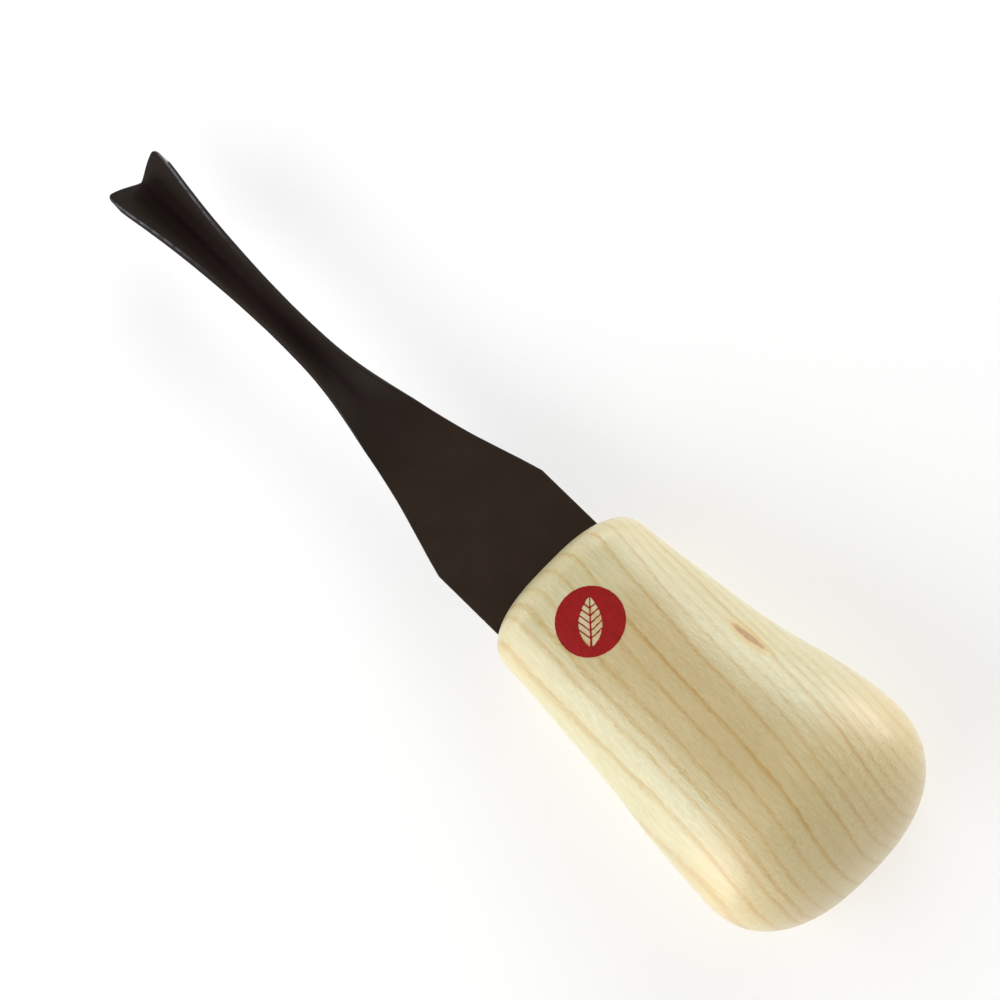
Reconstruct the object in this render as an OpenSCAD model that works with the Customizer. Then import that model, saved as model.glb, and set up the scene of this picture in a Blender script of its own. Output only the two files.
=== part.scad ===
// Palm-handled lino cutter: a formed spring-steel V blade bonded into a one-piece ash handle.
// Frame: +X runs along the tool towards the cutting edge, +Z is up, and the origin is on the
// handle's flat underside, below the middle of the grip. Millimetres.

/* [Handle] */
// Length of the handle from its front face to the butt
handle_l = 64.6; // [56:0.2:76]
// Width of the handle just behind its front face
handle_front_w = 28.3; // [27:0.1:34]
// Width of the handle across the palm swell
handle_swell_w = 39; // [34:0.5:46]
// Height of the handle's front end above the blade
front_rise = 10; // [8:0.25:13]
// Height of the palm dome above the blade
dome_rise = 17.5; // [14:0.25:21]
// Depth of the flat underside below the blade
sole_drop = 11.5; // [9.5:0.25:14]
// How far the palm swell drifts to one side of the blade's centre line
swell_drift = 2.35; // [0:0.05:4]
// How far behind the front face the frame's origin lies
origin_back = 31; // [26:0.5:36]

/* [Blade] */
// Length of the blade outside the handle
reach = 87; // [84:0.5:100]
// Width of the flat strap
strap_w = 21.4; // [18:0.1:23]
// Length of the parallel part of the strap outside the handle
strap_l = 11; // [6:0.5:16]
// Width of the blade at its neck
neck_w = 5.65; // [5:0.05:8]
// Width of the blade across the cutting edge
edge_w = 11; // [8:0.1:13]
// Thickness of the spring steel
steel_t = 1; // [0.8:0.05:1.3]
// Depth of the V at the cutting edge
vee_depth = 5.6; // [4:0.1:6.5]
// Depth of the trough at the neck
neck_depth = 2.5; // [1.5:0.1:3]
// How much the flanks of the V open out towards the wings, where 0 is a straight V
wing_flare = 0.8; // [0:0.1:0.9]
// How far the bottom of the V sits behind its wings
edge_rake = 0.5; // [0:0.1:1.5]
// Radius of the wing corners
wing_r = 1.3; // [0.6:0.1:2]
// Length of the ground bevel on the outside of the edge
bevel_l = 3; // [2:0.25:5]

/* [Joint] */
// Depth of the tang inside the handle
tang_l = 32; // [26:0.5:40]
// Diameter of the tang's key holes
key_d = 5; // [3:0.25:6]
// Adhesive thickness above and below the tang
bond_z = 0.15; // [0.1:0.05:0.3]
// Adhesive thickness at the tang's edges and end
bond_y = 0.25; // [0.15:0.05:0.5]

/* [Printed mark] */
// Diameter of the printed disc on top of the handle
mark_d = 10.4; // [6:0.2:12]
// Distance of the disc's centre behind the front face
mark_back = 12.2; // [10:0.2:20]
// Thickness of the ink film
ink_t = 0.05; // [0.03:0.01:0.1]

/* [Hidden] */

ash = [0.86, 0.79, 0.6];
black_steel = [0.13, 0.11, 0.1];
epoxy = [0.83, 0.74, 0.5];
red_ink = [0.6, 0.09, 0.1];

blade_z = sole_drop;      // height of the steel's middle plane above the underside
front_x = origin_back;    // the handle's front face
front_r = 6;              // reach of the rounding round the front face
butt_ry = 0.22 * handle_l;  // reach of the butt's rounding, seen from above
butt_rz = 0.3 * handle_l;    // and from the side

// Share of the growth from front width to swell width, along the handle from 0 to 1
flare = [[0, -0.05], [0.1, 0.01], [0.2, 0.11], [0.3, 0.235], [0.4, 0.36], [0.5, 0.535],
         [0.6, 0.765], [0.7, 0.935], [0.8, 1], [1, 1]];
// Share of the sideways drift
drift = [[0, 0.42], [0.1, 0.45], [0.2, 0.5], [0.3, 0.55], [0.4, 0.61], [0.5, 0.7],
         [0.6, 0.85], [0.7, 0.99], [0.77, 1], [0.87, 0.9], [1, 0.89]];
// Share of the rise from the front to the palm dome
crown = [[0, 0], [0.15, 0.06], [0.3, 0.23], [0.45, 0.5], [0.6, 0.79], [0.72, 0.96],
         [0.8, 1], [1, 1]];
// Height of the widest line above the blade
belt = [[0, 0], [0.3, 0], [0.6, 1], [0.85, 2.3], [1, 2.6]];
// How square the cross-section is, where 2 is an ellipse
squareness = [[0, 2.9], [0.2, 2.7], [0.6, 2.4], [1, 2.3]];

// A smooth curve through the points [[x, y], ...]
function seg(x, p, i = 0) = i >= len(p) - 2 || x < p[i + 1][0] ? i : seg(x, p, i + 1);
function rate(p, i) =
    let (a = max(i - 1, 0), b = min(i + 1, len(p) - 1))
    (p[b][1] - p[a][1]) / (p[b][0] - p[a][0]);
function curve(x, p) =
    let (i = seg(x, p), h = p[i + 1][0] - p[i][0], s = max(0, min(1, (x - p[i][0]) / h)))
    (2 * s ^ 3 - 3 * s ^ 2 + 1) * p[i][1] + (s ^ 3 - 2 * s ^ 2 + s) * h * rate(p, i)
    + (3 * s ^ 2 - 2 * s ^ 3) * p[i + 1][1] + (s ^ 3 - s ^ 2) * h * rate(p, i + 1);
function smooth(s) = let (c = max(0, min(1, s))) c * c * (3 - 2 * c);
// The rounding of an end: 0 at the end, 1 once x has gone r past it
function round_end(x, r, n) = x >= r ? 1 : (1 - ((r - max(x, 0)) / r) ^ n) ^ (1 / n);

// Handle section at a distance t behind the front face
function half_y(t) =
    (handle_front_w + (handle_swell_w - handle_front_w) * curve(t / handle_l, flare)) / 2
    * round_end(t, front_r, 2.5) * round_end(handle_l - t, butt_ry, 2.4);
function mid_y(t) = -swell_drift * curve(t / handle_l, drift);
function mid_z(t) = curve(t / handle_l, belt);
function end_z(t) = round_end(t, front_r, 2.5) * round_end(handle_l - t, butt_rz, 2.2);
function up_z(t) =
    (front_rise + (dome_rise - front_rise) * curve(t / handle_l, crown) - mid_z(t)) * end_z(t);
function down_z(t) = (sole_drop + 0.6 + 0.8 * t / handle_l + mid_z(t)) * end_z(t);
function bend(c, n) = sign(c) * abs(c) ^ (2 / n);
function handle_point(t, a) =
    let (n = curve(t / handle_l, squareness), c = bend(cos(a), n), s = bend(sin(a), n))
    [front_x - t, mid_y(t) + half_y(t) * c,
     blade_z + mid_z(t) + s * (s > 0 ? up_z(t) : down_z(t))];
// Height of the handle's top at a place (t, y)
function top_z(t, y) =
    let (n = curve(t / handle_l, squareness), q = min(1, abs(y - mid_y(t)) / half_y(t)))
    blade_z + mid_z(t) + up_z(t) * (1 - q ^ n) ^ (1 / n);

// Distances of the handle's rings behind the front face
ring_n = 56;
front_rings = [for (i = [1:8]) front_r * (1 - cos(90 * i / 8))];
body_end = handle_l - butt_rz;
body_rings = [for (i = [1:14]) front_r + (body_end - front_r) * i / 14];
butt_rings = [for (i = [1:15]) body_end + butt_rz * sin(90 * i / 16)];
rings = concat(front_rings, body_rings, butt_rings);

module handle_blank() {
    m = len(rings);
    pts = concat([for (t = rings) for (k = [0:ring_n - 1]) handle_point(t, 360 * k / ring_n)],
                 [[front_x, mid_y(0), blade_z + mid_z(0)],
                  [front_x - handle_l, mid_y(handle_l), blade_z + mid_z(handle_l)]]);
    sides = [for (i = [0:m - 2]) for (k = [0:ring_n - 1])
        let (a = i * ring_n + k, b = i * ring_n + (k + 1) % ring_n)
        each [[a, b, b + ring_n], [a, b + ring_n, a + ring_n]]];
    front = [for (k = [0:ring_n - 1]) [m * ring_n, (k + 1) % ring_n, k]];
    butt = [for (k = [0:ring_n - 1])
        [m * ring_n + 1, (m - 1) * ring_n + k, (m - 1) * ring_n + (k + 1) % ring_n]];
    polyhedron(points = pts, faces = concat(sides, front, butt), convexity = 4);
}

module sole_cut() {
    translate([front_x - handle_l - 5, -40, 0]) cube([handle_l + 10, 80, 60]);
}

// The slot sawn into the handle for the tang, with the adhesive's room round it
module slot() {
    translate([front_x - tang_l - bond_y, -strap_w / 2 - bond_y, blade_z - steel_t / 2 - bond_z])
        cube([tang_l + bond_y + 5, strap_w + 2 * bond_y, steel_t + 2 * bond_z]);
}

module handle() {
    color(ash) difference() {
        intersection() {
            handle_blank();
            sole_cut();
        }
        slot();
    }
}

// Blade widths at a distance x outside the handle
form_x = 24;  // up to here the blade is flat
flat_share = [[0, 1], [strap_l, 1]];
function half_strap(x) =
    let (s = (x - strap_l) / (reach - strap_l), n = neck_w / 2, b = strap_w / 2, e = edge_w / 2)
    x <= strap_l ? b
    : s < 0.58 ? n + (b - n) * curve(s, taper)
    : n + (e - n) * curve(s, fishtail);
// Share of the narrowing left, from the shoulder to the neck
taper = [[0, 1], [0.04, 0.894], [0.1, 0.722], [0.16, 0.557], [0.22, 0.426], [0.28, 0.322],
         [0.34, 0.206], [0.4, 0.103], [0.46, 0.034], [0.52, 0.008], [0.58, 0]];
// Share of the widening done, from the neck to the edge
fishtail = [[0.58, 0], [0.66, 0.055], [0.72, 0.145], [0.78, 0.265], [0.84, 0.43],
            [0.9, 0.65], [0.95, 0.86], [1, 1]];

// The trough: its depth, the lift of its rims, and how round its bottom is (small is a sharp V)
trough = [[0, 0], [form_x + 1, 0], [30, 0.25], [36, 1.1], [42, 1.95], [50, neck_depth],
          [60, neck_depth * 1.08], [70, neck_depth + (vee_depth - neck_depth) * 0.38],
          [79, neck_depth + (vee_depth - neck_depth) * 0.8], [reach, vee_depth]];
rims = [[0, 0], [form_x + 1, 0], [36, 0.35], [50, 0.95], [65, 1.1], [reach, 1.3]];
roundness = [[0, 1.2], [30, 1.2], [45, 0.7], [60, 0.45], [75, 0.3], [reach, 0.25]];

// Middle surface of the steel across the blade: q is -1 at one rim and 1 at the other
function round_vee(q, r) = (sqrt(q * q + r * r) - r) / (sqrt(1 + r * r) - r);
function round_slope(q, r) = q / sqrt(q * q + r * r) / (sqrt(1 + r * r) - r);
function opening(x) = wing_flare * smooth((x - 50) / 30);
function vee(x, q) = round_vee(q, curve(x, roundness)) * (1 + opening(x) * (1 - abs(q)));
function vee_slope(x, q) =
    round_slope(q, curve(x, roundness)) * (1 + opening(x) * (1 - abs(q)))
    - round_vee(q, curve(x, roundness)) * opening(x) * sign(q);
function steel_z(x, q) = curve(x, rims) - curve(x, trough) * (1 - vee(x, q));
function steel_lean(x, q) = atan2(curve(x, trough) * vee_slope(x, q), half_mid(x));
// The middle surface stops short of the outline by the lean of its rim
function half_mid(x) =
    half_strap(x) - (0.42 - 0.25 * opening(x)) * steel_t * smooth((x - form_x) / 20);
// The corner of each wing, rounded off
function wing(x) = let (d = reach - x) d >= wing_r ? 0
    : (wing_r - sqrt(max(0, wing_r ^ 2 - (wing_r - d) ^ 2))) / (1.5 * edge_w / 2);
function back_set(x, q) = -edge_rake * smooth((x - reach + 12) / 12) * (1 - abs(q));
// Thickness left by the ground bevel
function thick(x) = steel_t * min(1, 0.08 + 0.92 * (reach - x) / bevel_l);

stations = concat([for (i = [0:31]) form_x + (reach - bevel_l - form_x) * i / 31],
                  [for (d = [2.2, 1.6, 1.2, 0.85, 0.55, 0.3, 0.12, 0]) reach - d]);
across = 12;
function steel_point(x, j, side) =
    let (q = (j / across) * (1 - wing(x)), a = steel_lean(x, q), up = steel_t / 2,
         off = side > 0 ? up : up - thick(x))
    [front_x + x + back_set(x, q),
     half_mid(x) * q - sin(a) * off,
     blade_z + steel_z(x, q) + cos(a) * off];

module formed_blade() {
    m = len(stations);
    w = 2 * across + 1;
    pts = [for (x = stations) for (side = [1, -1]) for (j = [-across:across])
        steel_point(x, j, side)];
    function id(i, side, j) = (2 * i + side) * w + j;
    skin = [for (i = [0:m - 2]) for (j = [0:w - 2]) each [
        [id(i, 0, j), id(i, 0, j + 1), id(i + 1, 0, j + 1)],
        [id(i, 0, j), id(i + 1, 0, j + 1), id(i + 1, 0, j)],
        [id(i, 1, j + 1), id(i, 1, j), id(i + 1, 1, j)],
        [id(i, 1, j + 1), id(i + 1, 1, j), id(i + 1, 1, j + 1)]]];
    rims_ = [for (i = [0:m - 2]) each [
        [id(i, 1, 0), id(i, 0, 0), id(i + 1, 0, 0)],
        [id(i, 1, 0), id(i + 1, 0, 0), id(i + 1, 1, 0)],
        [id(i, 0, w - 1), id(i, 1, w - 1), id(i + 1, 1, w - 1)],
        [id(i, 0, w - 1), id(i + 1, 1, w - 1), id(i + 1, 0, w - 1)]]];
    ends = [for (j = [0:w - 2]) each [
        [id(0, 0, j + 1), id(0, 0, j), id(0, 1, j)],
        [id(0, 0, j + 1), id(0, 1, j), id(0, 1, j + 1)],
        [id(m - 1, 0, j), id(m - 1, 0, j + 1), id(m - 1, 1, j + 1)],
        [id(m - 1, 0, j), id(m - 1, 1, j + 1), id(m - 1, 1, j)]]];
    polyhedron(points = pts, faces = concat(skin, rims_, ends), convexity = 6);
}

// The flat part: tang with its key holes, strap, and the start of the taper
module flat_blade() {
    outline = [for (x = [strap_l : (form_x - strap_l) / 9 : form_x + 0.001]) [x, half_strap(x)]];
    right = concat([[-tang_l, strap_w / 2 - 4], [-tang_l + 4, strap_w / 2]], outline);
    n = len(right);
    left = [for (i = [n - 1 : -1 : 0]) [right[i][0], -right[i][1]]];
    translate([front_x, 0, blade_z - steel_t / 2]) difference() {
        linear_extrude(steel_t) polygon(concat(right, left));
        for (x = [-tang_l * 0.3, -tang_l * 0.7])
            translate([x, 0, -1]) cylinder(d = key_d, h = steel_t + 2, $fn = 48);
    }
}

module blade() {
    color(black_steel) {
        flat_blade();
        formed_blade();
    }
}

module tang_adhesive() {
    color(epoxy) difference() {
        intersection() {
            handle_blank();
            slot();
        }
        flat_blade();
    }
}

// A disc of ink that follows the handle's top
module printed_mark() {
    rn = 6;
    an = 48;
    pts = concat([[0, 0]], [for (i = [1:rn]) for (k = [0:an - 1])
        mark_d / 2 * i / rn * [cos(360 * k / an), sin(360 * k / an)]]);
    function at(p, up) = [front_x - mark_back + p[0], p[1], top_z(mark_back - p[0], p[1]) + up];
    m = len(pts);
    top = [for (p = pts) at(p, 0.01 + ink_t)];
    under = [for (p = pts) at(p, 0.01)];
    core = [for (k = [0:an - 1]) [0, 1 + (k + 1) % an, 1 + k]];
    webs = [for (i = [0:rn - 2]) for (k = [0:an - 1])
        let (a = 1 + i * an + k, b = 1 + i * an + (k + 1) % an)
        each [[a, b, b + an], [a, b + an, a + an]]];
    cover = concat(core, webs);
    wall = [for (k = [0:an - 1])
        let (a = 1 + (rn - 1) * an + k, b = 1 + (rn - 1) * an + (k + 1) % an)
        each [[a, b, b + m], [a, b + m, a + m]]];
    color(red_ink)
        polyhedron(points = concat(top, under),
                   faces = concat(cover, [for (f = cover) [f[2] + m, f[1] + m, f[0] + m]], wall),
                   convexity = 2);
}

handle();
blade();
tang_adhesive();
printed_mark();
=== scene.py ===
import math

import bmesh
import bpy
import numpy as np
from mathutils import Matrix, Vector


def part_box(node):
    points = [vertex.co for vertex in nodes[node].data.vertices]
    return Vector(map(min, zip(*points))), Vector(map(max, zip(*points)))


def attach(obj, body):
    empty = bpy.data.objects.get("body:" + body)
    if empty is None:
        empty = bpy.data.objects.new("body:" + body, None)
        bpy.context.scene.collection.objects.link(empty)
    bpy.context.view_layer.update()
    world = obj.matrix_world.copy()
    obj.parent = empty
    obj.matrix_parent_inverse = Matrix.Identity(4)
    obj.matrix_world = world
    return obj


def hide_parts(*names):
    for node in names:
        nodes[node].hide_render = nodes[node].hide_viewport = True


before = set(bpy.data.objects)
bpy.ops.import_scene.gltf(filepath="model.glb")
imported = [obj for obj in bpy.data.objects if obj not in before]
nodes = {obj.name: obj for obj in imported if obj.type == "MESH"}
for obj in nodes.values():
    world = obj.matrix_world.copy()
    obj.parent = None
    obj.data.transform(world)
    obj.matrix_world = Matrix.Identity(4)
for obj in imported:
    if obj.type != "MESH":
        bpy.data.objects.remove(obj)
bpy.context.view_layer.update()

MM = 0.001

# ---------------------------------------------------------------- sizes, from the CAD boxes (mm)
h_lo, h_hi = [np.array(v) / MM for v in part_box("handle")]
b_lo, b_hi = [np.array(v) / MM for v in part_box("blade")]
FRONT_X = float(h_hi[0])            # the handle's front face
HANDLE_L = float(h_hi[0] - h_lo[0])
SOLE = 11.5                         # height of the steel's middle plane above the underside
REACH = float(b_hi[0]) - FRONT_X    # blade outside the handle
TANG_L = FRONT_X - float(b_lo[0])
STRAP_W = float(b_hi[1] - b_lo[1])
STRAP_L = 11.0
NECK_W, EDGE_W = 5.65, 11.0
STEEL = 1.0
VEE, NECK = 5.6, 2.5
RAKE, WING_R, BEVEL, FLARE_V = 0.5, 1.3, 3.0, 0.8
FORM_X = 24.0
FRONT_W, SWELL_W = 28.3, 39.0
FRONT_RISE, DOME_RISE = 10.0, 17.5
DRIFT = 2.35
FRONT_R = 6.0
BUTT_RY, BUTT_RZ = 0.22 * HANDLE_L, 0.3 * HANDLE_L
BOND_Y, BOND_Z = 0.25, 0.15
MARK_D, MARK_BACK = 10.4, 12.2

FLARE = [[0, -0.05], [0.1, 0.01], [0.2, 0.11], [0.3, 0.235], [0.4, 0.36], [0.5, 0.535],
         [0.6, 0.765], [0.7, 0.935], [0.8, 1], [1, 1]]
DRIFTS = [[0, 0.42], [0.1, 0.45], [0.2, 0.5], [0.3, 0.55], [0.4, 0.61], [0.5, 0.7],
          [0.6, 0.85], [0.7, 0.99], [0.77, 1], [0.87, 0.9], [1, 0.89]]
CROWN = [[0, 0], [0.15, 0.06], [0.3, 0.23], [0.45, 0.5], [0.6, 0.79], [0.72, 0.96], [0.8, 1], [1, 1]]
BELT = [[0, 0], [0.3, 0], [0.6, 1], [0.85, 2.3], [1, 2.6]]
SQUARE = [[0, 2.9], [0.2, 2.7], [0.6, 2.4], [1, 2.3]]
TAPER = [[0, 1], [0.04, 0.894], [0.1, 0.722], [0.16, 0.557], [0.22, 0.426], [0.28, 0.322],
         [0.34, 0.206], [0.4, 0.103], [0.46, 0.034], [0.52, 0.008], [0.58, 0]]
FISHTAIL = [[0.58, 0], [0.66, 0.055], [0.72, 0.145], [0.78, 0.265], [0.84, 0.43],
            [0.9, 0.65], [0.95, 0.86], [1, 1]]
TROUGH = [[0, 0], [FORM_X + 1, 0], [30, 0.25], [36, 1.1], [42, 1.95], [50, NECK], [60, NECK * 1.08],
          [70, NECK + (VEE - NECK) * 0.38], [79, NECK + (VEE - NECK) * 0.8], [REACH, VEE]]
RIMS = [[0, 0], [FORM_X + 1, 0], [36, 0.35], [50, 0.95], [65, 1.1], [REACH, 1.3]]
ROUND = [[0, 1.2], [30, 1.2], [45, 0.7], [60, 0.45], [75, 0.3], [REACH, 0.25]]


def curve(x, p):
    """A smooth curve through the points, as the CAD draws it."""
    i = 0
    while i < len(p) - 2 and x >= p[i + 1][0]:
        i += 1

    def rate(k):
        a, b = max(k - 1, 0), min(k + 1, len(p) - 1)
        return (p[b][1] - p[a][1]) / (p[b][0] - p[a][0])

    h = p[i + 1][0] - p[i][0]
    s = max(0.0, min(1.0, (x - p[i][0]) / h))
    return ((2 * s ** 3 - 3 * s * s + 1) * p[i][1] + (s ** 3 - 2 * s * s + s) * h * rate(i)
            + (3 * s * s - 2 * s ** 3) * p[i + 1][1] + (s ** 3 - s * s) * h * rate(i + 1))


def smooth(s):
    c = max(0.0, min(1.0, s))
    return c * c * (3 - 2 * c)


def round_end(x, r, n):
    return 1.0 if x >= r else (1 - ((r - max(x, 0)) / r) ** n) ** (1 / n)


# ---------------------------------------------------------------- handle surface
def half_y(t):
    return ((FRONT_W + (SWELL_W - FRONT_W) * curve(t / HANDLE_L, FLARE)) / 2
            * round_end(t, FRONT_R, 2.5) * round_end(HANDLE_L - t, BUTT_RY, 2.4))


def mid_y(t):
    return -DRIFT * curve(t / HANDLE_L, DRIFTS)


def mid_z(t):
    return curve(t / HANDLE_L, BELT)


def end_z(t):
    return round_end(t, FRONT_R, 2.5) * round_end(HANDLE_L - t, BUTT_RZ, 2.2)


def up_z(t):
    return (FRONT_RISE + (DOME_RISE - FRONT_RISE) * curve(t / HANDLE_L, CROWN) - mid_z(t)) * end_z(t)


def down_z(t):
    return (SOLE + 0.6 + 0.8 * t / HANDLE_L + mid_z(t)) * end_z(t)


def bend(c, n):
    return math.copysign(abs(c) ** (2 / n), c)


def top_z(t, y):
    n = curve(t / HANDLE_L, SQUARE)
    q = min(1.0, abs(y - mid_y(t)) / half_y(t))
    return SOLE + mid_z(t) + up_z(t) * (1 - q ** n) ** (1 / n)


def eased(z, e=0.45):
    """The flat underside, with the edge round it sanded over."""
    if z <= -e:
        return 0.0
    if z >= e:
        return z
    return (z + e) ** 2 / (4 * e)


def handle_ring(t, count):
    n = curve(t / HANDLE_L, SQUARE)
    hy, my, mz, uz, dz = half_y(t), mid_y(t), mid_z(t), up_z(t), down_z(t)
    # even steps along the outline
    fine = 1440
    pts = []
    for k in range(fine):
        a = 2 * math.pi * k / fine
        c, s = bend(math.cos(a), n), bend(math.sin(a), n)
        pts.append((my + hy * c, SOLE + mz + s * (uz if s > 0 else dz)))
    pts = np.array(pts)
    pts[:, 1] = [eased(z) for z in pts[:, 1]]
    loop = np.vstack([pts, pts[:1]])
    d = np.r_[0, np.cumsum(np.hypot(*np.diff(loop, axis=0).T))]
    # half the steps follow the length, half the angle, so tight corners keep their points
    w = 0.65 * d / d[-1] + 0.35 * np.linspace(0, 1, fine + 1)
    at = np.interp(np.linspace(0, 1, count, endpoint=False), w, np.arange(fine + 1))
    y = np.interp(at, np.arange(fine + 1), loop[:, 0])
    z = np.interp(at, np.arange(fine + 1), loop[:, 1])
    return [(FRONT_X - t, a, b) for a, b in zip(y, z)]


def new_object(name, verts, faces, smooth_deg=30, material_of=None):
    mesh = bpy.data.meshes.new(name)
    mesh.from_pydata([tuple(c * MM for c in v) for v in verts], [], faces)
    mesh.update()
    obj = bpy.data.objects.new(name, mesh)
    bpy.context.scene.collection.objects.link(obj)
    if material_of is not None:
        mesh.polygons.foreach_set("material_index", material_of)
    shade(obj, smooth_deg)
    return obj


def shade(obj, smooth_deg):
    bm = bmesh.new()
    bm.from_mesh(obj.data)
    for f in bm.faces:
        f.smooth = True
    limit = math.radians(smooth_deg)
    for e in bm.edges:
        e.smooth = not (len(e.link_faces) == 2 and e.calc_face_angle(0) > limit)
    bm.to_mesh(obj.data)
    bm.free()


def box_mesh(name, lo, hi):
    v = [(x, y, z) for x in (lo[0], hi[0]) for y in (lo[1], hi[1]) for z in (lo[2], hi[2])]
    f = [(0, 1, 3, 2), (4, 6, 7, 5), (0, 4, 5, 1), (2, 3, 7, 6), (0, 2, 6, 4), (1, 5, 7, 3)]
    return new_object(name, v, f)


def apply_modifiers(obj):
    dg = bpy.context.evaluated_depsgraph_get()
    mesh = bpy.data.meshes.new_from_object(obj.evaluated_get(dg))
    obj.modifiers.clear()
    old = obj.data
    obj.data = mesh
    bpy.data.meshes.remove(old)


def cut(obj, cutters):
    for c in cutters:
        m = obj.modifiers.new("cut", "BOOLEAN")
        m.operation, m.solver, m.object = "DIFFERENCE", "EXACT", c
    bpy.context.view_layer.update()
    apply_modifiers(obj)
    for c in cutters:
        bpy.data.objects.remove(c)


def build_handle():
    count = 208
    ts = [FRONT_R * (1 - math.cos(math.pi / 2 * i / 22)) for i in range(1, 23)]
    body_end = HANDLE_L - BUTT_RZ
    ts += [FRONT_R + (body_end - FRONT_R) * i / 64 for i in range(1, 65)]
    ts += [body_end + BUTT_RZ * math.sin(math.pi / 2 * i / 52) for i in range(1, 52)]
    verts = []
    for t in ts:
        verts += handle_ring(t, count)
    m = len(ts)
    verts += [(FRONT_X, mid_y(0), SOLE + mid_z(0)), (FRONT_X - HANDLE_L, mid_y(HANDLE_L), SOLE + mid_z(HANDLE_L))]
    faces = []
    for i in range(m - 1):
        for k in range(count):
            a, b = i * count + k, i * count + (k + 1) % count
            faces.append((a, a + count, b + count, b))
    for k in range(count):
        faces.append((m * count, k, (k + 1) % count))
        faces.append((m * count + 1, (m - 1) * count + (k + 1) % count, (m - 1) * count + k))
    obj = new_object("ash_handle", verts, faces)
    bm = bmesh.new()
    bm.from_mesh(obj.data)
    bmesh.ops.recalc_face_normals(bm, faces=bm.faces)
    bm.to_mesh(obj.data)
    bm.free()
    slot = box_mesh("slot_cutter",
                    (FRONT_X - TANG_L - BOND_Y, -STRAP_W / 2 - BOND_Y, SOLE - STEEL / 2 - BOND_Z),
                    (FRONT_X + 5, STRAP_W / 2 + BOND_Y, SOLE + STEEL / 2 + BOND_Z))
    cut(obj, [slot])
    shade(obj, 35)
    return obj


# ---------------------------------------------------------------- blade surface
def half_strap(x):
    s = (x - STRAP_L) / (REACH - STRAP_L)
    n, b, e = NECK_W / 2, STRAP_W / 2, EDGE_W / 2
    if x <= STRAP_L:
        c = x + TANG_L
        return b - max(0.0, 4 - c) if x < 0 else b
    return n + (b - n) * curve(s, TAPER) if s < 0.58 else n + (e - n) * curve(s, FISHTAIL)


def opening(x):
    return FLARE_V * smooth((x - 50) / 30)


def round_vee(q, r):
    return (math.sqrt(q * q + r * r) - r) / (math.sqrt(1 + r * r) - r)


def round_slope(q, r):
    return q / math.sqrt(q * q + r * r) / (math.sqrt(1 + r * r) - r)


def vee(x, q):
    return round_vee(q, curve(x, ROUND)) * (1 + opening(x) * (1 - abs(q)))


def vee_slope(x, q):
    r = curve(x, ROUND)
    sign = (q > 0) - (q < 0)
    return round_slope(q, r) * (1 + opening(x) * (1 - abs(q))) - round_vee(q, r) * opening(x) * sign


def steel_z(x, q):
    return curve(x, RIMS) - curve(x, TROUGH) * (1 - vee(x, q))


def half_mid(x):
    return half_strap(x) - (0.42 - 0.25 * opening(x)) * STEEL * smooth((x - FORM_X) / 20)


def wing(x):
    d = REACH - x
    if d >= WING_R:
        return 0.0
    return (WING_R - math.sqrt(max(0.0, WING_R ** 2 - (WING_R - d) ** 2))) / (1.5 * EDGE_W / 2)


def thick(x):
    return STEEL * min(1.0, 0.08 + 0.92 * (REACH - x) / BEVEL)


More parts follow.
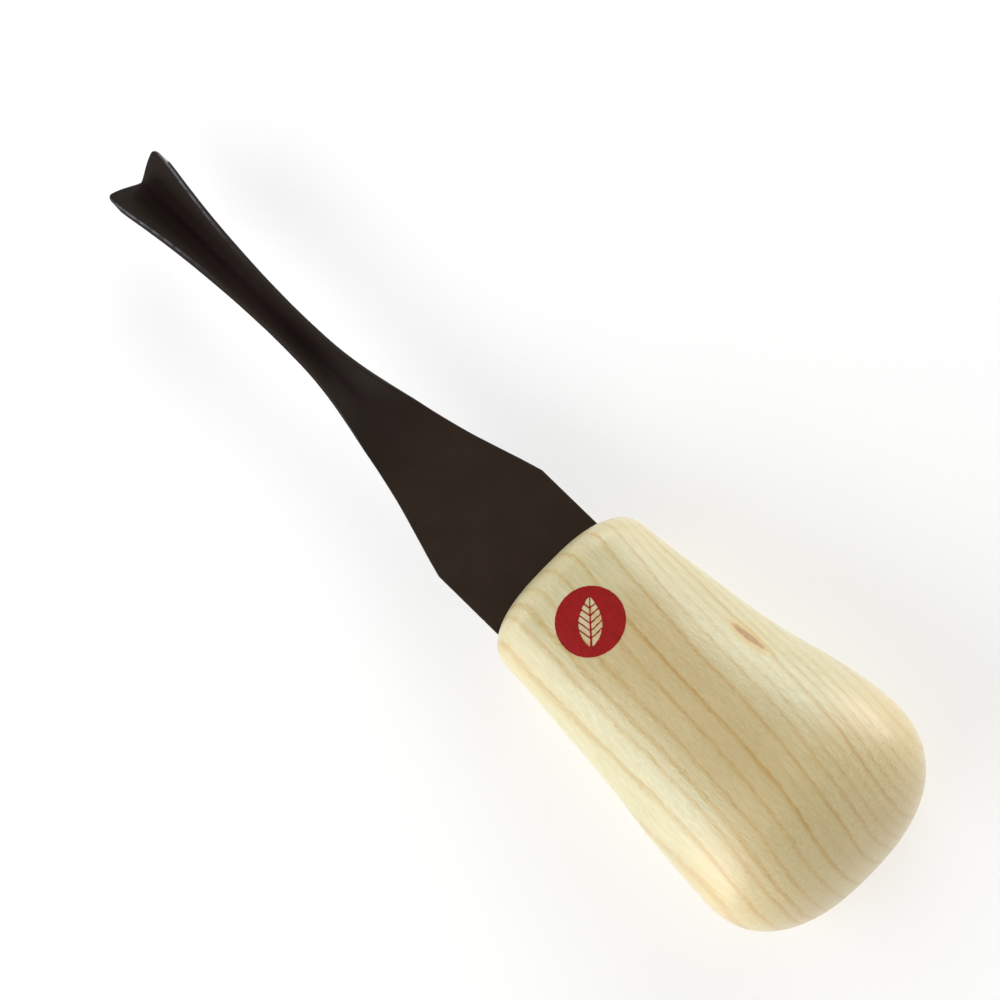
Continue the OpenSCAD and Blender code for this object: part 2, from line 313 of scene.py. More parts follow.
def build_blade():
    across = 44
    corner = 5
    xs = [-TANG_L + 4 * i / 6 for i in range(7)]
    xs += [-28 + 28 * i / 20 for i in range(1, 21)]
    xs += [STRAP_L * i / 16 for i in range(1, 17)]
    xs = [x for x in xs if x > -TANG_L - 0.001]
    last = REACH - BEVEL
    body = [STRAP_L + (last - STRAP_L) * i / 170 for i in range(1, 171)]
    tip = [REACH - d for d in (2.75, 2.5, 2.25, 2.0, 1.75, 1.5, 1.3, 1.15, 1.0, 0.86, 0.73, 0.61, 0.5,
                               0.4, 0.31, 0.23, 0.16, 0.1, 0.05, 0.02, 0.0)]
    xs = sorted(set(round(x, 5) for x in xs)) + body + tip

    def frame_at(x, q):
        """Middle surface point and its up direction in the cross-section."""
        w = 1 - wing(x)
        qq = q * w
        slope = math.atan2(curve(x, TROUGH) * vee_slope(x, qq), half_mid(x))
        back = -RAKE * smooth((x - REACH + 12) / 12) * (1 - abs(qq))
        p = np.array([FRONT_X + x + back, half_mid(x) * qq, SOLE + steel_z(x, qq)])
        up = np.array([0.0, -math.sin(slope), math.cos(slope)])
        out = np.array([0.0, math.cos(slope), math.sin(slope)])
        return p, up, out

    verts, per = [], None
    for x in xs:
        th = thick(x)
        r = min(0.22, 0.46 * th)
        hw = half_mid(x) * (1 - wing(x))
        q_in = 1 - r / hw
        top, low = STEEL / 2, STEEL / 2 - th
        loop = []
        for j in range(-across, across + 1):
            p, up, out = frame_at(x, q_in * j / across)
            loop.append(p + up * top)
        p, up, out = frame_at(x, q_in)
        for k in range(1, corner + 1):
            a = math.pi / 2 * k / corner
            loop.append(p + out * r * math.sin(a) + up * (top - r + r * math.cos(a)))
        for k in range(0, corner):
            a = math.pi / 2 * k / corner
            loop.append(p + out * r * math.cos(a) + up * (low + r - r * math.sin(a)))
        for j in range(across, -across - 1, -1):
            p, up, out = frame_at(x, q_in * j / across)
            loop.append(p + up * low)
        p, up, out = frame_at(x, -q_in)
        for k in range(1, corner + 1):
            a = math.pi / 2 * k / corner
            loop.append(p - out * r * math.sin(a) + up * (low + r - r * math.cos(a)))
        for k in range(0, corner):
            a = math.pi / 2 * k / corner
            loop.append(p - out * r * math.cos(a) + up * (top - r + r * math.sin(a)))
        per = len(loop)
        verts += [tuple(v) for v in loop]
    faces, mats = [], []
    n_top = 2 * across + 1
    low_start = n_top + 2 * corner
    for i in range(len(xs) - 1):
        for k in range(per):
            a, b = i * per + k, i * per + (k + 1) % per
            faces.append((a, a + per, b + per, b))
            ground = xs[i] >= last - 1e-6 and low_start - corner <= k < low_start + n_top + corner
            rim = n_top - 1 <= k < n_top - 1 + corner or k >= per - corner
            mats.append(1 if ground else 2 if rim and xs[i] > REACH - 34 else 0)
    # ends, as strips between the top and the bottom skin
    for base, turn in ((0, False), ((len(xs) - 1) * per, True)):
        for j in range(n_top - 1):
            quad = (base + j, base + j + 1, base + low_start + n_top - 2 - j, base + low_start + n_top - 1 - j)
            faces.append(quad if not turn else quad[::-1])
            mats.append(1 if turn else 0)
        right = [base + n_top - 1 + k for k in range(2 * corner + 2)]
        left = [base + (low_start + n_top - 1 + k) % per for k in range(2 * corner + 2)]
        for side in (right, left):
            faces.append(tuple(side) if not turn else tuple(side[::-1]))
            mats.append(1 if turn else 0)
    obj = new_object("steel_blade", verts, faces, 40, mats)
    obj.data.materials.append(bpy.data.materials.new("slot_0"))
    obj.data.materials.append(bpy.data.materials.new("slot_1"))
    obj.data.materials.append(bpy.data.materials.new("slot_2"))
    bm = bmesh.new()
    bm.from_mesh(obj.data)
    bmesh.ops.remove_doubles(bm, verts=bm.verts, dist=1e-8)
    bmesh.ops.recalc_face_normals(bm, faces=bm.faces)
    bm.to_mesh(obj.data)
    bm.free()
    cutters = []
    for share in (0.3, 0.7):
        n, r = 64, 2.5
        cx = FRONT_X - TANG_L * share
        ring = [(cx + r * math.cos(2 * math.pi * k / n), r * math.sin(2 * math.pi * k / n)) for k in range(n)]
        v = [(x, y, SOLE - 2) for x, y in ring] + [(x, y, SOLE + 2) for x, y in ring]
        f = [tuple(range(n - 1, -1, -1)), tuple(range(n, 2 * n))]
        f += [(k, (k + 1) % n, n + (k + 1) % n, n + k) for k in range(n)]
        c = new_object("key_cutter", v, f)
        cutters.append(c)
    cut(obj, cutters)
    shade(obj, 35)
    return obj


# ---------------------------------------------------------------- printed mark: a disc with a leaf left open
def leaf_open(x, y):
    """Above 0 where the leaf is left free of ink. x runs along the leaf, in mm."""
    length, width = 7.4, 3.5
    s = x / length + 0.5
    if s <= 0.0 or s >= 1.0:
        return -1.0
    edge = width / 2 * math.sin(math.pi * s ** 0.85) ** 0.8
    rib = 0.17 * (1 - 0.6 * s)
    vein = 1e9
    for k in range(5):
        s0 = 0.16 + 0.15 * k
        # veins run forwards from the rib
        d = abs((x - (s0 - 0.5) * length) - abs(y) * 0.85) * 0.76
        vein = min(vein, d - 0.085)
    return min(edge - abs(y), abs(y) - rib, vein)


def ink_at(x, y):
    """Above 0 where there is ink. (x, y) is in mm from the disc's centre."""
    r = math.hypot(x, y)
    a = math.atan2(y, x)
    rim = MARK_D / 2 + 0.010 * math.sin(23 * a + 0.4) + 0.010 * math.sin(41 * a) - r
    ca, sa = math.cos(math.radians(-42)), math.sin(math.radians(-42))
    lx, ly = x * ca + y * sa, -x * sa + y * ca
    wob = 0.02 * math.sin(7.1 * lx + 2) + 0.02 * math.sin(9.7 * ly + 1)
    return min(rim, -leaf_open(lx + wob, ly + wob))


def build_mark():
    step = 0.09
    n = int(MARK_D / step / 2) + 3
    grid = {}
    for i in range(-n, n + 1):
        for j in range(-n, n + 1):
            grid[i, j] = ink_at(i * step, j * step)
    index, verts, faces = {}, [], []

    def vert(key, x, y):
        if key not in index:
            index[key] = len(verts)
            verts.append((x, y))
        return index[key]

    def crossing(p, q):
        a, b = (p, q) if p < q else (q, p)
        f = grid[a] / (grid[a] - grid[b])
        f = min(0.98, max(0.02, f))
        return vert((a, b), (a[0] + (b[0] - a[0]) * f) * step, (a[1] + (b[1] - a[1]) * f) * step)

    for i in range(-n, n):
        for j in range(-n, n):
            c = [(i, j), (i + 1, j), (i + 1, j + 1), (i, j + 1)]
            for tri in ((c[0], c[1], c[2]), (c[0], c[2], c[3])):
                inside = [grid[p] > 0 for p in tri]
                if not any(inside):
                    continue
                poly = []
                for k in range(3):
                    p, q = tri[k], tri[(k + 1) % 3]
                    if grid[p] > 0:
                        poly.append(vert(p, p[0] * step, p[1] * step))
                    if (grid[p] > 0) != (grid[q] > 0):
                        poly.append(crossing(p, q))
                if len(poly) >= 3:
                    faces.append(tuple(poly))
    # lift onto the handle, then give it its film thickness
    high, low = [], []
    for x, y in verts:
        z = top_z(MARK_BACK - x, y)
        high.append((FRONT_X - MARK_BACK + x, y, z + 0.045))
        low.append((FRONT_X - MARK_BACK + x, y, z - 0.02))
    m = len(verts)
    edges = {}
    for f in faces:
        for k in range(len(f)):
            edges.setdefault((f[k], f[(k + 1) % len(f)]), 0)
    walls = [(a, b) for a, b in edges if (b, a) not in edges]
    allf = list(faces) + [tuple(v + m for v in f[::-1]) for f in faces] + [(b, a, a + m, b + m) for a, b in walls]
    obj = new_object("printed_leaf_mark", high + low, allf, 50)
    return obj


# ---------------------------------------------------------------- node helpers
class Nodes:
    def __init__(self, name):
        self.mat = bpy.data.materials.new(name)
        self.mat.use_nodes = True
        self.t = self.mat.node_tree
        self.t.nodes.clear()
        self.out = self.t.nodes.new("ShaderNodeOutputMaterial")
        self.bsdf = self.t.nodes.new("ShaderNodeBsdfPrincipled")
        self.link(self.bsdf.outputs[0], self.out.inputs["Surface"])

    def link(self, a, b):
        self.t.links.new(a, b)

    def put(self, socket, value):
        if isinstance(value, bpy.types.NodeSocket):
            self.link(value, socket)
        else:
            socket.default_value = value

    def math(self, op, a, b=0.0, c=0.0, clamp=False):
        n = self.t.nodes.new("ShaderNodeMath")
        n.operation = op
        n.use_clamp = clamp
        for i, v in enumerate((a, b, c)):
            self.put(n.inputs[i], v)
        return n.outputs[0]

    def add(self, a, b):
        return self.math("ADD", a, b)

    def sub(self, a, b):
        return self.math("SUBTRACT", a, b)

    def mul(self, a, b):
        return self.math("MULTIPLY", a, b)

    def remap(self, v, a, b, c=0.0, d=1.0, kind="SMOOTHSTEP"):
        n = self.t.nodes.new("ShaderNodeMapRange")
        n.interpolation_type = kind
        n.clamp = True
        for s, x in zip(n.inputs[:5], (v, a, b, c, d)):
            self.put(s, x)
        return n.outputs[0]

    def coords(self):
        n = self.t.nodes.new("ShaderNodeTexCoord")
        v = self.t.nodes.new("ShaderNodeVectorMath")
        v.operation = "SCALE"
        self.link(n.outputs["Object"], v.inputs[0])
        v.inputs["Scale"].default_value = 1000.0
        return v.outputs[0]

    def split(self, v):
        n = self.t.nodes.new("ShaderNodeSeparateXYZ")
        self.link(v, n.inputs[0])
        return n.outputs[0], n.outputs[1], n.outputs[2]

    def join(self, x, y, z):
        n = self.t.nodes.new("ShaderNodeCombineXYZ")
        for s, v in zip(n.inputs, (x, y, z)):
            self.put(s, v)
        return n.outputs[0]

    def noise(self, vec, scale=1.0, detail=3.0, rough=0.5, distortion=0.0, w=None):
        n = self.t.nodes.new("ShaderNodeTexNoise")
        if w is not None:
            n.noise_dimensions = "4D"
            n.inputs["W"].default_value = w
        self.link(vec, n.inputs["Vector"])
        n.inputs["Scale"].default_value = scale
        n.inputs["Detail"].default_value = detail
        n.inputs["Roughness"].default_value = rough
        n.inputs["Distortion"].default_value = distortion
        return n.outputs["Fac"]

    def voronoi(self, vec, scale=1.0, feature="F1", randomness=1.0):
        n = self.t.nodes.new("ShaderNodeTexVoronoi")
        n.feature = feature
        self.link(vec, n.inputs["Vector"])
        n.inputs["Scale"].default_value = scale
        n.inputs["Randomness"].default_value = randomness
        return n

    def ramp(self, v, stops, kind="LINEAR"):
        n = self.t.nodes.new("ShaderNodeValToRGB")
        n.color_ramp.interpolation = kind
        e = n.color_ramp.elements
        while len(e) > 1:
            e.remove(e[-1])
        e[0].position, first = stops[0][0], stops[0][1]
        e[0].color = (*first, 1) if isinstance(first, tuple) else (first, first, first, 1)
        for pos, col in stops[1:]:
            k = e.new(pos)
            k.color = (*col, 1) if isinstance(col, tuple) else (col, col, col, 1)
        self.link(v, n.inputs[0])
        return n.outputs["Color"]

    def mix(self, f, a, b, kind="MIX"):
        n = self.t.nodes.new("ShaderNodeMix")
        n.data_type = "RGBA"
        n.blend_type = kind
        self.put(n.inputs["Factor"], f)
        for s, v in ((n.inputs[6], a), (n.inputs[7], b)):
            if isinstance(v, tuple):
                s.default_value = (*v, 1)
            else:
                self.link(v, s)
        return n.outputs[2]

    def bump(self, height, strength, distance, normal=None):
        n = self.t.nodes.new("ShaderNodeBump")
        n.inputs["Strength"].default_value = strength
        n.inputs["Distance"].default_value = distance
        self.link(height, n.inputs["Height"])
        if normal is not None:
            self.link(normal, n.inputs["Normal"])
        return n.outputs[0]

    def set(self, **kw):
        for k, v in kw.items():
            name = k.replace("_", " ")
            s = self.bsdf.inputs[name]
            if isinstance(v, tuple) and len(v) == 3 and s.type == "RGBA":
                v = (*v, 1)
            self.put(s, v)


# Growth lines: distance from the pith in mm, strength
LINES = [(28.0, 0.35), (30.2, 0.4), (32.0, 0.35), (33.9, 0.45), (35.4, 0.4), (36.9, 0.45), (38.5, 0.8), (40.1, 0.35),
         (41.8, 0.4), (43.7, 0.6), (46.3, 0.75), (48.4, 0.2), (50.4, 1.0), (53.1, 0.7), (56.2, 0.7),
         (58.4, 0.85), (60.0, 0.75), (62.8, 0.8), (65.7, 0.7), (68.6, 0.6), (71.8, 0.6), (75.0, 0.6)]
R0, R1 = 26.0, 78.0


def ash_pattern(k):
    """The timber's own colour and relief, the same in every piece that shows it."""
    p = k.coords()
    x, y, z = k.split(p)
    s = k.mul(k.sub(FRONT_X, x), 1 / 60)
    zz = k.sub(z, SOLE)
    # slow wander of the rings
    slow = k.noise(k.join(k.mul(x, 0.035), k.mul(y, 0.11), k.mul(z, 0.11)), 1.0, 2.0, 0.5)
    wobble = k.noise(k.join(k.mul(x, 0.16), k.mul(y, 0.5), k.mul(z, 0.5)), 1.0, 3.0, 0.6)
    fine = k.noise(k.join(k.mul(x, 1.0), k.mul(y, 2.6), k.mul(z, 2.6)), 1.0, 2.0, 0.6)
    yc = k.add(k.add(-45.5, k.mul(s, -10.5)), k.mul(k.mul(s, s), 6.0))
    zc = k.add(-21.0, k.mul(s, 28.6))
    dy, dz = k.sub(y, yc), k.sub(zz, zc)
    r = k.math("SQRT", k.add(k.mul(dy, dy), k.mul(dz, dz)))
    r = k.add(r, k.mul(k.sub(slow, 0.5), 1.5))
    r = k.add(r, k.mul(k.sub(wobble, 0.5), 0.7))
    r = k.add(r, k.mul(k.sub(fine, 0.5), 0.55))
    # one small knot fleck on the -Y flank: it lies along the grain, and the rings bend round it
    kx, ky, kz = FRONT_X - 30.3, -14.1, top_z(30.3, -14.1)
    ex = k.mul(k.sub(x, kx), 1 / 3.5)
    across = k.mul(k.add(k.sub(y, ky), k.sub(z, kz)), 0.707)
    across = k.add(across, k.add(k.mul(k.sub(x, kx), 0.05), k.mul(k.sub(wobble, 0.5), 1.1)))
    through = k.mul(k.sub(k.sub(z, kz), k.sub(y, ky)), 0.707)
    far = k.math("ABSOLUTE", k.mul(through, 1 / 6.0))
    ex2 = k.mul(ex, ex)
    ey = k.mul(across, 1 / 0.62)
    d2 = k.add(k.add(ex2, k.mul(ey, ey)), far)
    knot = k.remap(k.add(d2, k.mul(k.sub(fine, 0.5), 1.4)), 0.35, 1.35, 1.0, 0.0)
    halo = k.remap(k.add(k.add(k.mul(ex2, 0.35), k.mul(k.mul(ey, ey), 0.13)), far), 0.1, 1.2, 1.0, 0.0)
    r = k.add(r, k.mul(halo, 0.7))
    f = k.mul(k.sub(r, R0), 1 / (R1 - R0))

    def lines(part, before, core, after, tail):
        stops = [(0.0, 0.0)]
        for rad, amp in part:
            c = (rad - R0) / (R1 - R0)
            u = 1 / (R1 - R0)
            stops += [(c - before * u, 0.0), (c, amp), (c + core * u, amp * 0.8), (c + after * u, amp * tail)]
        return stops

    # the crisp line, and the softer band of pores that follows it
    crisp_parts = [LINES[:7], LINES[7:14], LINES[14:]]
    crisp = None
    for part in crisp_parts:
        stops = [(0.0, 0.0)]
        for rad, amp in part:
            c, u = (rad - R0) / (R1 - R0), 1 / (R1 - R0)
            stops += [(c - 0.2 * u, 0.0), (c, amp), (c + 0.5 * u, 0.0)]
        v = k.ramp(f, stops)
        crisp = v if crisp is None else k.math("MAXIMUM", crisp, v)
    band = None
    for part in (LINES[:8], LINES[8:15], LINES[15:]):
        stops = [(0.0, 0.0)]
        for rad, amp in part:
            c, u = (rad - R0) / (R1 - R0), 1 / (R1 - R0)
            stops += [(c - 0.45 * u, 0.0), (c, amp), (c + 0.95 * u, 0.0)]
        v = k.ramp(f, stops, "EASE")
        band = v if band is None else k.math("MAXIMUM", band, v)

    # lines come and go along the grain
    fade = k.noise(k.join(k.mul(x, 0.09), k.mul(y, 0.35), k.mul(z, 0.35)), 1.0, 2.0, 0.5, w=3.0)
    fade = k.remap(fade, 0.3, 0.62, 0.4, 1.0)
    broken = k.noise(k.join(k.mul(x, 0.9), k.mul(y, 3.0), k.mul(z, 3.0)), 1.0, 2.0, 0.6, w=8.0)
    crisp = k.mul(k.mul(crisp, fade), k.remap(broken, 0.3, 0.55, 0.35, 1.0))

    # fibre: long thin streaks
    fib1 = k.noise(k.join(k.mul(x, 0.07), k.mul(y, 2.2), k.mul(z, 2.2)), 1.0, 4.0, 0.65, w=1.0)
    fib2 = k.noise(k.join(k.mul(x, 0.22), k.mul(y, 7.0), k.mul(z, 7.0)), 1.0, 4.0, 0.65, w=2.0)
    fibre = k.add(k.mul(k.sub(fib1, 0.5), 0.75), k.mul(k.sub(fib2, 0.5), 0.8))

    # open pores: short dark dashes, crowded along the growth lines
    pv = k.voronoi(k.join(k.mul(x, 0.42), k.mul(y, 3.6), k.mul(z, 3.6)), 1.0)
    size = k.mul(pv.outputs["Color"], 1.0)
    pore = k.remap(pv.outputs["Distance"], 0.14, 0.40, 1.0, 0.0)
    keep = k.remap(size, 0.46, 0.56, 0.0, 1.0)
    few = k.mul(k.mul(pore, keep), k.remap(band, 0.05, 0.6, 0.22, 1.0))
    # the sanded surface isn't quite even: it catches the light in short ripples
    ripple = k.noise(k.join(k.mul(x, 0.26), k.mul(y, 2.4), k.mul(z, 2.4)), 1.0, 3.0, 0.65, w=9.0)

    # big patches, slightly deeper in tone
    patch = k.noise(k.join(k.mul(x, 0.03), k.mul(y, 0.14), k.mul(z, 0.14)), 1.0, 2.0, 0.5, w=5.0)
    patch = k.remap(patch, 0.35, 0.65, 0.0, 1.0)

    # end grain on the butt and the front: the same rings, a little deeper, with round pores
    g = k.t.nodes.new("ShaderNodeNewGeometry")
    nx, ny, nz = k.split(g.outputs["Normal"])
    endg = k.remap(k.math("ABSOLUTE", nx), 0.55, 0.98, 0.0, 1.0)
    dots = k.voronoi(k.join(k.mul(x, 1.2), k.mul(y, 4.2), k.mul(z, 4.2)), 1.0)
    dot = k.mul(k.remap(dots.outputs["Distance"], 0.08, 0.28, 1.0, 0.0), k.remap(band, 0.05, 0.7, 0.15, 1.0))
    return dict(x=x, y=y, z=z, crisp=crisp, band=band, fibre=fibre, fib2=fib2, pore=few, patch=patch, knot=knot, halo=halo, ripple=ripple,
                endg=endg, dot=dot, wobble=wobble, fine=fine, p=p)


def ash_colour(k, a):
    base = k.mix(a["patch"], (0.750, 0.630, 0.345), (0.695, 0.572, 0.295))
    f = k.remap(a["fibre"], -0.17, 0.17, 0.0, 1.0, "LINEAR")
    base = k.mix(k.mul(f, 0.72), base, (0.575, 0.440, 0.205))
    base = k.mix(k.mul(a["band"], 0.55), base, (0.640, 0.430, 0.135))
    base = k.mix(k.mul(a["crisp"], 0.85), base, (0.500, 0.275, 0.058))
    base = k.mix(k.mul(a["pore"], 0.5), base, (0.430, 0.270, 0.100))
    base = k.mix(k.mul(a["halo"], 0.6), base, (0.670, 0.390, 0.080))
    base = k.mix(k.mul(k.mul(a["knot"], k.remap(a["fib2"], 0.3, 0.6, 0.55, 1.0)), 0.9), base, (0.400, 0.155, 0.020))
    e = k.mix(k.mul(a["dot"], 0.5), (0.58, 0.46, 0.24), (0.34, 0.22, 0.09))
    base = k.mix(k.mul(a["endg"], 0.35), base, e)
    # painted light: painted shade, a deeper tone, along the middle of the top, and a painted sheen, paler and less
    # saturated, down both flanks; paler and creamier at the front, a touch lighter towards the butt
    front = k.remap(a["x"], FRONT_X - 17.0, FRONT_X - 9.0)
    side = k.remap(k.math("ABSOLUTE", k.add(a["y"], k.add(1.6, k.mul(k.sub(a["wobble"], 0.5), 3.0)))), 4.0, 11.0)
    tint = k.mix(side, (0.900, 0.885, 0.865), (0.960, 1.080, 1.230))
    tint = k.mix(front, tint, (0.995, 1.100, 1.250))
    tint = k.mix(k.remap(a["x"], FRONT_X - 52.0, FRONT_X - 42.0, 1.0, 0.0), tint, (1.03, 1.03, 1.03))
    return k.mix(1.0, base, tint, "MULTIPLY")


def ash_bump(k, a, strength=1.0):
    h = k.add(k.mul(a["fib2"], 0.35), k.mul(a["ripple"], 1.1))
    h = k.sub(h, k.mul(a["pore"], 0.3))
    h = k.sub(h, k.mul(a["crisp"], 0.3))
    return k.bump(h, 0.7 * strength, 0.00008)


def ash_material():
    k = Nodes("ash_satin")
    a = ash_pattern(k)
    col = ash_colour(k, a)
    rough = k.add(0.42, k.mul(a["pore"], 0.2))
    rough = k.add(rough, k.mul(k.sub(a["fib2"], 0.5), 0.16))
    rough = k.add(rough, k.mul(a["endg"], 0.1))
    k.set(Base_Color=col, Roughness=rough, Normal=ash_bump(k, a))
    k.bsdf.inputs["Specular IOR Level"].default_value = 0.6
    k.bsdf.inputs["Coat Weight"].default_value = 0.8
    k.bsdf.inputs["Coat Roughness"].default_value = 0.32
    k.bsdf.inputs["Coat IOR"].default_value = 1.55
    k.link(ash_bump(k, a, 1.0), k.bsdf.inputs["Coat Normal"])
    return k.mat


def ink_material():
    k = Nodes("red_print_ink")
    a = ash_pattern(k)
    mott = k.noise(a["p"], 2.2, 4.0, 0.65, w=7.0)
    col = k.mix(k.remap(mott, 0.3, 0.7), (0.300, 0.0085, 0.0085), (0.365, 0.0120, 0.0115))
    col = k.mix(k.mul(a["crisp"], 0.5), col, (0.170, 0.006, 0.006))
    f = k.remap(a["fibre"], -0.2, 0.2, 0.0, 1.0, "LINEAR")
    col = k.mix(k.mul(f, 0.4), col, (0.220, 0.007, 0.007))
    # thin spots where the wood shows
    thin = k.mul(k.remap(mott, 0.62, 0.8), k.remap(a["fib2"], 0.5, 0.72))
    col = k.mix(k.mul(thin, 0.6), col, (0.55, 0.26, 0.15))
    col = k.mix(k.mul(a["pore"], 0.5), col, (0.120, 0.006, 0.006))
    rough = k.add(0.55, k.mul(k.sub(mott, 0.5), 0.2))
    k.set(Base_Color=col, Roughness=rough, Normal=ash_bump(k, a, 0.7))
    k.bsdf.inputs["Specular IOR Level"].default_value = 0.15
    return k.mat


def steel_material(name="black_oxide_steel", rim=False):
    k = Nodes(name)
    p = k.coords()
    x, y, z = k.split(p)
    cloud = k.noise(k.join(k.mul(x, 0.16), k.mul(y, 0.2), k.mul(z, 0.2)), 1.0, 4.0, 0.6)
    grain = k.noise(p, 6.0, 5.0, 0.7)
    rolled = k.noise(k.join(k.mul(x, 0.35), k.mul(y, 5.0), k.mul(z, 5.0)), 1.0, 3.0, 0.6, w=2.0)
    spots = k.noise(p, 1.1, 3.0, 0.6, w=4.0)
    col = k.mix(k.remap(cloud, 0.3, 0.7), (0.0262, 0.0162, 0.0104), (0.0305, 0.0196, 0.0130))
    col = k.mix(k.mul(k.remap(spots, 0.55, 0.75), 0.3), col, (0.020, 0.0135, 0.010))
    # painted shade and light along the neck and the V: the walls darker, the bottom lighter and redder, most of all
    # towards the tip
    formed = k.remap(x, FRONT_X + 20.0, FRONT_X + 36.0)
    middle = k.remap(k.math("ABSOLUTE", y), 0.1, 1.7, 1.0, 0.0)
    bottom = k.mix(k.remap(x, FRONT_X + 46.0, FRONT_X + 68.0), (0.0205, 0.0118, 0.0106), (0.0520, 0.0285, 0.0285))
    trough_shading = k.mix(middle, (0.0163, 0.0102, 0.0070), bottom)
    col = k.mix(k.mul(formed, 0.9), col, trough_shading)
    if rim:
        # painted highlight: a lighter, bluer grey along the rims, strongest near the cutting edge, where the rounded
        # edges catch the light
        rim_glint = k.remap(x, FRONT_X + REACH - 30.0, FRONT_X + REACH - 5.0)
        rim_glint = k.mul(rim_glint, k.remap(spots, 0.3, 0.6, 0.45, 1.0))
        rim_glint = k.mul(rim_glint, rim_glint)
        col = k.mix(k.mul(rim_glint, 0.9), col, (0.150, 0.160, 0.185))
    # dust specks
    sp = k.voronoi(p, 0.42)
    speck = k.mul(k.remap(sp.outputs["Distance"], 0.02, 0.05, 1.0, 0.0), k.remap(sp.outputs["Color"], 0.72, 0.74))
    col = k.mix(k.mul(speck, 0.6), col, (0.22, 0.2, 0.17))
    # roughness from the grain and the cloud, relief from the grain and the rolling marks
    g = k.t.nodes.new("ShaderNodeNewGeometry")
    rough = k.add(0.56, k.mul(k.sub(grain, 0.5), 0.16))
    rough = k.add(rough, k.mul(k.sub(cloud, 0.5), 0.1))
    h = k.add(k.mul(grain, 0.6), k.mul(rolled, 0.5))
    k.set(Base_Color=col, Roughness=rough, Normal=k.bump(h, 0.25, 0.00002))
    k.bsdf.inputs["Metallic"].default_value = 0.1
    k.bsdf.inputs["Specular IOR Level"].default_value = 0.1
    return k.mat


def ground_material():
    k = Nodes("ground_steel")
    p = k.coords()
    x, y, z = k.split(p)
    lay = k.noise(k.join(k.mul(x, 14.0), k.mul(y, 0.6), k.mul(z, 0.6)), 1.0, 3.0, 0.7)
    col = k.mix(lay, (0.42, 0.41, 0.40), (0.60, 0.59, 0.57))
    old = k.remap(x, FRONT_X + REACH - BEVEL - 0.2, FRONT_X + REACH - BEVEL + 0.5, 1.0, 0.0)
    col = k.mix(k.mul(old, 0.7), col, (0.08, 0.06, 0.05))
    rough = k.add(0.26, k.mul(k.sub(lay, 0.5), 0.2))
    k.set(Base_Color=col, Roughness=rough, Normal=k.bump(lay, 0.3, 0.00002))
    k.bsdf.inputs["Metallic"].default_value = 1.0
    return k.mat


def glue_material():
    k = Nodes("cured_epoxy")
    p = k.coords()
    n = k.noise(p, 1.4, 3.0, 0.6)
    col = k.mix(k.remap(n, 0.3, 0.7), (0.50, 0.37, 0.19), (0.62, 0.48, 0.27))
    rough = k.add(0.22, k.mul(n, 0.18))
    k.set(Base_Color=col, Roughness=rough, Normal=k.bump(n, 0.2, 0.00005))
    k.bsdf.inputs["Coat Weight"].default_value = 0.3
    return k.mat


# ---------------------------------------------------------------- pieces
handle = build_handle()
blade = build_blade()
mark = build_mark()

handle.data.materials.clear()
handle.data.materials.append(ash_material())
blade_zones = [p.material_index for p in blade.data.polygons]
blade.data.materials.clear()
blade.data.materials.append(steel_material())
blade.data.materials.append(ground_material())
# third slot: the same steel with a painted highlight along the rims
blade.data.materials.append(steel_material("rim_glint_steel", True))
blade.data.polygons.foreach_set("material_index", [min(z, 2) for z in blade_zones])
mark.data.materials.clear()
mark.data.materials.append(ink_material())

for piece, node, slot in ((handle, "handle", "ash_wood"), (blade, "blade", "black_steel"), (mark, "printed_mark", "red_ink")):
    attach(piece, "root")
    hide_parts(node)

glue = nodes["tang_adhesive"]
glue.data.materials.clear()
glue.data.materials.append(glue_material())

# ---------------------------------------------------------------- floor
fm = bmesh.new()
bmesh.ops.create_grid(fm, x_segments=1, y_segments=1, size=1.6)
floor_mesh = bpy.data.meshes.new("floor")
fm.to_mesh(floor_mesh)
fm.free()
floor = bpy.data.objects.new("floor", floor_mesh)
floor.location = (0.04, 0, -0.00005)
bpy.context.scene.collection.objects.link(floor)
k = Nodes("pale_floor")
k.set(Base_Color=(0.6, 0.6, 0.6), Roughness=0.8)
k.bsdf.inputs["Specular IOR Level"].default_value = 0.1
k.bsdf.inputs["Emission Color"].default_value = (1, 1, 1, 1)
k.bsdf.inputs["Emission Strength"].default_value = 0.45
floor.data.materials.append(k.mat)


# ---------------------------------------------------------------- light
def area(name, at, look, size, power, colour=(1, 1, 1)):
    data = bpy.data.lights.new(name, "AREA")
    data.shape = "RECTANGLE"
    data.size, data.size_y = size
    data.energy = power
    data.color = colour
    obj = bpy.data.objects.new(name, data)
    bpy.context.scene.collection.objects.link(obj)
    obj.location = at
    obj.rotation_euler = (Vector(look) - Vector(at)).to_track_quat("-Z", "Y").to_euler()
    return obj


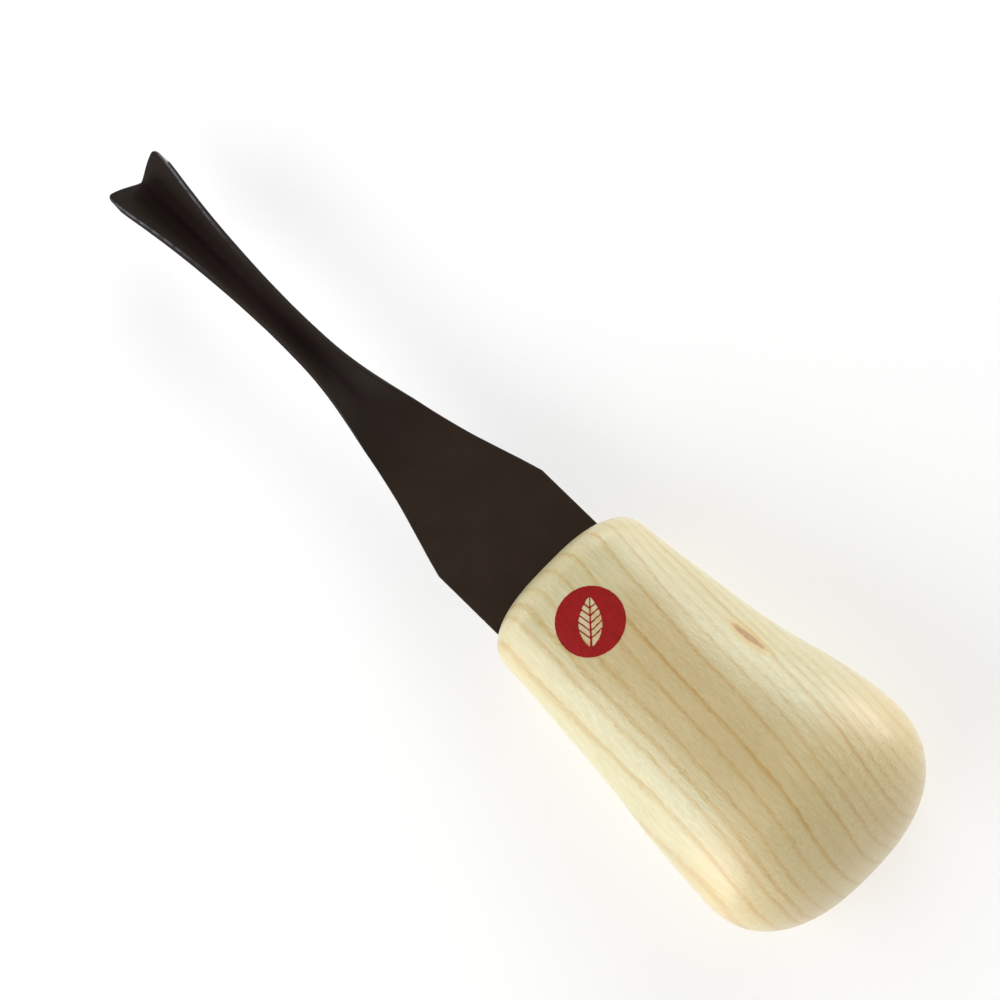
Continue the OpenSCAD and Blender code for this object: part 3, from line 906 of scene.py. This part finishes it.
def softbox(name, azimuth, elevation, power):
    """A studio softbox 0.45 m from the middle of the tool."""
    a, h = math.radians(azimuth), math.radians(elevation)
    at = (0.45 * math.cos(h) * math.cos(a), 0.45 * math.cos(h) * math.sin(a), 0.012 + 0.45 * math.sin(h))
    return area(name, at, (0, 0, 0.012), (0.32, 0.2), power)


softbox("left_low", 90, 8, 0.88)
softbox("left_mid", 90, 27, 0.22)
softbox("left_high", 90, 45, 0.37)
softbox("right_low", -90, 8, 0.87)
softbox("right_mid", -90, 25, 0.11)
softbox("right_high", -90, 45, 0.19)
softbox("tip_left", 45, 25, 0.69)
softbox("tip_right", -45, 25, 0.71)
softbox("butt_left", 135, 25, 0.22)
softbox("butt_right", -135, 25, 0.11)
softbox("butt_low", 180, 20, 0.09)
softbox("butt_high", 180, 50, 0.05)

world = bpy.data.worlds.new("studio")
bpy.context.scene.world = world
world.use_nodes = True
bg = world.node_tree.nodes["Background"]
bg.inputs["Color"].default_value = (1, 1, 1, 1)
bg.inputs["Strength"].default_value = 0.2

# ---------------------------------------------------------------- camera
TARGET = (43.45, -3.37)
PITCH, ROLL, TURN, SCALE, DIST = 14.6, -0.3, 135.79, 6.935, 950.0
th, ph, ps = math.radians(PITCH), math.radians(ROLL), math.radians(TURN)
back = Vector((-math.sin(th) * math.cos(ph), math.sin(ph), math.cos(th) * math.cos(ph))).normalized()
e = (Vector((1, 0, 0)) - back.x * back).normalized()
f = back.cross(e)
right = math.cos(ps) * e - math.sin(ps) * f
up = math.sin(ps) * e + math.cos(ps) * f
cam_data = bpy.data.cameras.new("camera")
cam = bpy.data.objects.new("camera", cam_data)
bpy.context.scene.collection.objects.link(cam)
place = (Vector((TARGET[0], TARGET[1], SOLE)) + back * DIST) * MM
m = Matrix((right, up, back)).transposed().to_4x4()
m.translation = place
cam.matrix_world = m
cam_data.sensor_width = 36.0
cam_data.lens = SCALE * DIST * 36.0 / 1000.0
cam_data.clip_start, cam_data.clip_end = 0.05, 10.0
bpy.context.scene.camera = cam

view = bpy.context.scene.view_settings
view.view_transform = "Standard"
view.look = "None"
view.exposure = 0.0
view.gamma = 1.0

bpy.context.view_layer.update()
